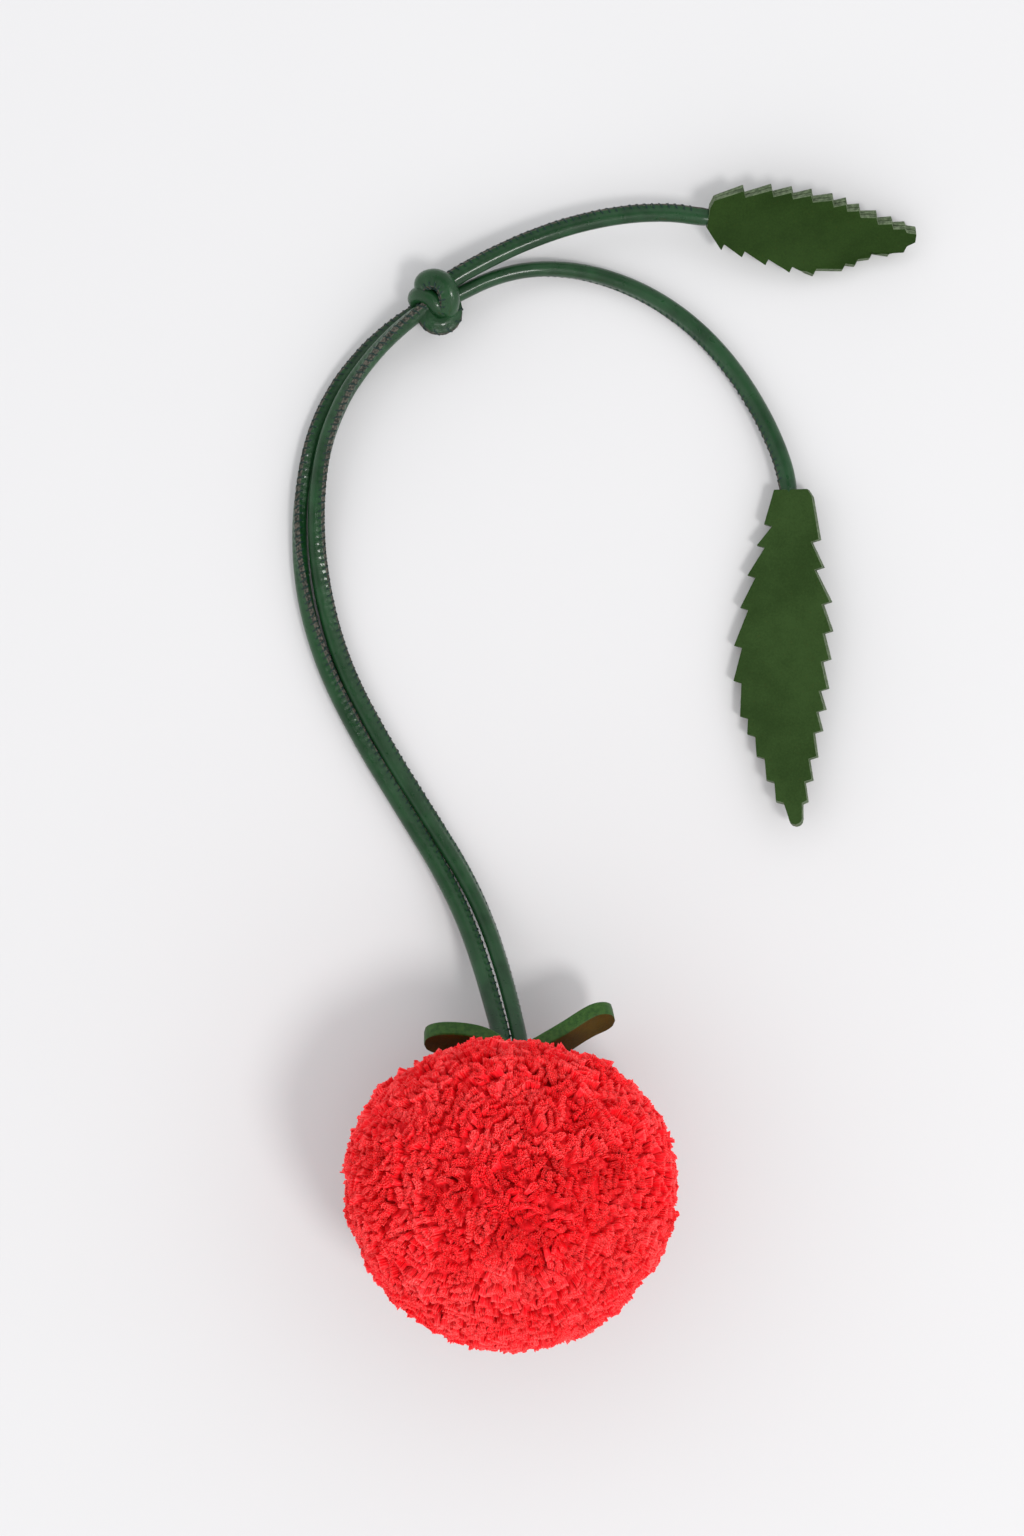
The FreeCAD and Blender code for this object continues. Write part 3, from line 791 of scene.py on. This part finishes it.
# A gathered end's folds, side by side: how far across its thickness each line of points is,
# how high in millimetres, and its painted light: painted highlight on ridges, painted shade in valleys.
FOLD_LINES = [(-1.0, 0.0, 0.9), (-0.45, -0.8, 0.3), (0.0, 0.05, 0.95), (0.45, -0.8, 0.3), (1.0, 0.0, 0.9)]
# How far each ring of a strip's sides is behind its end, in millimetres, its width and its painted light:
# painted shade deep behind the end, lighter near it.
STRIP_RINGS = [(7.0, 0.55, 0.0), (0.8, 0.94, 0.6)]
# How far strips are drawn to their clump's middle, as a share.
CLUMP_PULL = 0.16
# How strips lean, for a direction of length 1: combed away from the calyx, swirled with their
# neighbours, scattered one by one, and spread for each millimetre off the pompom's axis.
COMBED = 0.3
SWIRL = 0.2
SCATTER = 0.1
SPREAD = 0.014
SPREAD_REACH = 36
# How far trimming leaves an end off the clumps' surface: least, most and usual. Beside the calyx,
# from RUFFLED_FROM over RUFFLED_RUN, the most grows by RUFFLE.
TRIM = (-0.9, 0.45, 0.15)
RUFFLED_FROM = 27
RUFFLED_RUN = 15
RUFFLE = 2.0
# The dimple over the tied middle, and how much fuller the shoulders beside the calyx are.
DIMPLE_DEPTH = 3.4
DIMPLE_RADIUS = 4.5
SHOULDERS = 3.2
# How high off the table the strips' ends are trimmed, and the lowest that any point gets.
TRIM_HEIGHT = 0.35
LOWEST = 0.3
# How far the crumpled surface's hollows are behind the strips' ends, and how deep they are.
CORE_DEPTH = 3.2
CORE_FOLDS = 2.0


def surface_point(direction):
    """Where a ray from the pompom's middle meets its smooth outer shape, in millimetres."""
    scaled = Vector((direction[i] / POMPOM_RADII[i] for i in range(3)))
    return direction / scaled.length


def relief(surface):
    """The clumps that trimming leaves, and the dimple over the tied middle, in millimetres."""
    clumps = noise.noise(surface * 0.1) * 1.5 + noise.noise(surface * 0.3) * 0.9
    off_axis = math.hypot(surface.x - 1.0, surface.y)
    dimple = DIMPLE_DEPTH * math.exp(-(off_axis / DIMPLE_RADIUS) ** 2) if surface.z > 0 else 0.0
    across, along = surface.x / POMPOM_RADII.x, surface.y / POMPOM_RADII.y
    return clumps - dimple + SHOULDERS * across * across * along


def calyx_room(place):
    """How far a point is past the calyx's back, in millimetres; below 0 it is clear."""
    off = place - CALYX_CENTRE
    side = abs(off.x)
    if abs(off.dot(CALYX_WIDE)) > CALYX_HALF_WIDTH + 0.4 or side > 30:
        return -9.0
    back = 0.55 * side - 2.4 if side < 12 else 4.2
    return off.dot(CALYX_OUT) - back


def keep_clear(place, direction):
    """Trim a point of the pompom back from the calyx and up off the table."""
    excess = calyx_room(place)
    if excess > 0:
        place = place - direction * min(14.0, excess / max(0.35, direction.dot(CALYX_OUT)))
    if place.z < TRIM_HEIGHT:
        place = place + direction * ((TRIM_HEIGHT - place.z) / direction.z)
    return place


def even_directions(count, spread):
    """Nearly even directions all round, each a little off its place."""
    golden = math.pi * (3 - math.sqrt(5))
    for index in range(count):
        z = 1 - 2 * (index + 0.5) / count
        r = math.sqrt(1 - z * z)
        angle = golden * index
        stray = Vector([random.gauss(0, spread) for _ in range(3)])
        yield (Vector((r * math.cos(angle), r * math.sin(angle), z)) + stray).normalized()


def grow_clumps():
    """Groups of strips that lie together: where each is, its lean, height, fold and tone."""
    clumps = []
    tree = kdtree.KDTree(CLUMP_COUNT)
    for index, direction in enumerate(even_directions(CLUMP_COUNT, 0.035)):
        lean = Vector([random.gauss(0, 0.17) for _ in range(3)])
        fold = Vector([random.gauss(0, 1) for _ in range(3)])
        clumps.append((direction, lean, random.gauss(0, 0.32), fold, random.random()))
        tree.insert(direction, index)
    tree.balance()
    return clumps, tree


def folded_end():
    """A gathered strip's end: for each of its lines, points in millimetres across and up."""
    bend = random.uniform(-2.0, 2.0)
    heading = -bend / 2
    step = random.uniform(0.25, 0.48)
    thick = random.uniform(0.38, 0.8)
    x = y = 0.0
    lines = [[] for _ in FOLD_LINES]
    for point in range(FOLD_POINTS):
        pleat = (1 if point % 2 else -1) * random.uniform(0.12, 0.34)
        swell = thick * (0.5 if point in (0, FOLD_POINTS - 1) else random.uniform(0.8, 1.15))
        for line, (share, _, _) in zip(lines, FOLD_LINES):
            off = pleat + swell * share + random.uniform(-0.07, 0.07)
            line.append(Vector((x - math.sin(heading) * off, y + math.cos(heading) * off)))
        heading += bend / FOLD_POINTS + random.uniform(-0.3, 0.3)
        x += step * math.cos(heading)
        y += step * math.sin(heading)
    middle = sum((line[FOLD_POINTS // 2] for line in lines), Vector((0, 0))) / len(lines)
    return [[point - middle for point in line] for line in lines]


def add_strip(tuft, direction, clump):
    """One gathered strip that stands out that way from the pompom's middle."""
    vertices, faces, tips, tones, places = tuft
    centre, clump_lean, clump_proud, clump_fold, clump_tone = clump
    aim = direction.lerp(centre, CLUMP_PULL).normalized()
    surface = surface_point(aim)
    combed = Vector((0, -COMBED, 0)) * max(0.0, min(1.0, 0.2 - surface.y / 30))
    swirl = noise.noise_vector(surface * 0.08) * SWIRL
    scatter = Vector([random.gauss(0, SCATTER) for _ in range(3)])
    off_axis = math.hypot(surface.x, surface.y)
    spread = Vector((surface.x, surface.y, 0)) * (SPREAD * max(0.0, 1 - off_axis / SPREAD_REACH))
    lean = (aim + clump_lean + combed + spread + swirl + scatter).normalized()
    ruffled = max(0.0, surface.y - RUFFLED_FROM) / RUFFLED_RUN
    least, most, usual = TRIM
    proud = relief(surface) + clump_proud + random.triangular(least, most + RUFFLE * ruffled, usual)
    tip = keep_clear(POMPOM_CENTRE + surface + aim * proud, aim)
    fold = clump_fold + Vector([random.gauss(0, 0.5) for _ in range(3)])
    across = lean.cross(fold).normalized()
    up = lean.cross(across)
    lines = folded_end()
    slant_x, slant_y = random.gauss(0, 0.2), random.gauss(0, 0.3)
    tone = 0.6 * clump_tone + 0.4 * random.random()
    first = len(vertices)

    def put(point, column, back, wide, painted_lightness):
        place = tip + lean * -back + (across * point.x + up * point.y) * wide
        place.z = max(place.z, LOWEST)
        vertices.append(place * MM)
        tips.append(painted_lightness)
        tones.append(tone)
        places.append(((column * 0.5 + tone * 40) * MM, back * MM))

    def ragged(point):
        return slant_x * point.x + slant_y * point.y + random.uniform(-0.16, 0.16)

    outline = lines[0] + lines[-1][::-1]
    count = len(outline)
    # Each point's painted light goes into its "tip" share: painted shade deep in the pompom, painted
    # highlight on the end's ridges.
    for back, wide, painted_lightness in STRIP_RINGS:
        for column, point in enumerate(outline):
            put(point, column, back, wide, painted_lightness)
    for column, point in enumerate(outline):
        put(point, column, -ragged(point), 1.0, FOLD_LINES[0][2])
    for line, (_, height, painted_lightness) in list(zip(lines, FOLD_LINES))[1:-1]:
        for column, point in enumerate(line):
            put(point, column, -height - ragged(point), 1.0, painted_lightness)
    faces.append(tuple(range(first, first + count))[::-1])
    rings = len(STRIP_RINGS) + 1
    faces += ring_faces(rings, count, first)
    rim = first + (rings - 1) * count
    rows = [range(rim, rim + FOLD_POINTS)]
    rows += [range(rim + count + k * FOLD_POINTS, rim + count + (k + 1) * FOLD_POINTS)
             for k in range(len(FOLD_LINES) - 2)]
    rows.append(range(rim + count - 1, rim + FOLD_POINTS - 1, -1))
    for near, far in zip(rows, rows[1:]):
        for k in range(FOLD_POINTS - 1):
            faces.append((near[k], near[k + 1], far[k + 1], far[k]))


def crumpled_core(name, sign):
    """The close-packed ends behind the foremost strips of one tuft, as one crumpled surface."""
    bpy.ops.mesh.primitive_ico_sphere_add(subdivisions=7, radius=1)
    core = bpy.context.object
    core.name = name
    shape = bmesh.new()
    shape.from_mesh(core.data)
    geometry = list(shape.verts) + list(shape.edges) + list(shape.faces)
    bmesh.ops.bisect_plane(shape, geom=geometry, plane_co=(0, 0, 0), plane_no=(0, 0, sign),
                           clear_inner=True)
    heights = []
    for vertex in shape.verts:
        direction = vertex.co.normalized()
        surface = surface_point(direction)
        warped = surface + noise.noise_vector(surface * 0.35) * 2.2
        folds = 1 - 2.2 * abs(noise.noise(warped * 0.42))
        creases = 1 - 2.2 * abs(noise.noise(warped * 1.05 + Vector((9, 4, 2))))
        height = 0.62 * folds + 0.38 * creases
        heights.append(height)
        depth = relief(surface) - CORE_DEPTH + CORE_FOLDS * height
        vertex.co = keep_clear(POMPOM_CENTRE + surface + direction * depth, direction) * MM
    shape.to_mesh(core.data)
    shape.free()
    core.data.materials.append(RAFFIA)
    core.data.polygons.foreach_set("use_smooth", [True] * len(core.data.polygons))
    core.data.uv_layers[0].name = "strip"
    # Painted shade in the crumpled surface's hollows: the lower a point lies in its folds, the closer its
    # colour is to the painted gap shade.
    set_attribute(core, "tip", [0.05 + 0.4 * h for h in heights])
    set_attribute(core, "tone", [0.3] * len(heights))
    return core


clumps, clump_tree = grow_clumps()
quarters = {}
for direction in even_directions(STRIP_COUNT, 0.01):
    clump = clumps[clump_tree.find(direction)[1]]
    quarter = ("upper" if direction.z > 0 else "lower") + ("_right" if direction.x > 0 else "_left")
    add_strip(quarters.setdefault(quarter, ([], [], [], [], [])), direction, clump)
tuft_pieces = {"upper": [], "lower": []}
for quarter, (vertices, faces, tips, tones, places) in quarters.items():
    strips = new_piece("strips_" + quarter, vertices, faces, [RAFFIA], smooth=False)
    set_attribute(strips, "tip", tips)
    set_attribute(strips, "tone", tones)
    layer = strips.data.uv_layers.new(name="strip")
    layer.data.foreach_set("uv", [c for loop in strips.data.loops for c in places[loop.vertex_index]])
    tuft_pieces[quarter.split("_")[0]].append(strips)
for half, sign in (("upper", 1), ("lower", -1)):
    tuft_pieces[half].append(crumpled_core("core_" + half, sign))
    for piece in tuft_pieces[half]:
        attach(piece, "tomato")
    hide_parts("tuft_" + half)


# ---------------------------------------------------------------- hidden parts of the frame
# The tied waist, its binding, the cord's bight and the cord's glued tips stay as they are.

for node, material in (("tuft_waist", RAFFIA), ("binding_thread", THREAD), ("cord_bight", CORD),
                       ("leaf_a_cord_tip", CORD), ("leaf_b_cord_tip", CORD)):
    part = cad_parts[node]
    part.data.materials.clear()
    part.data.materials.append(material)
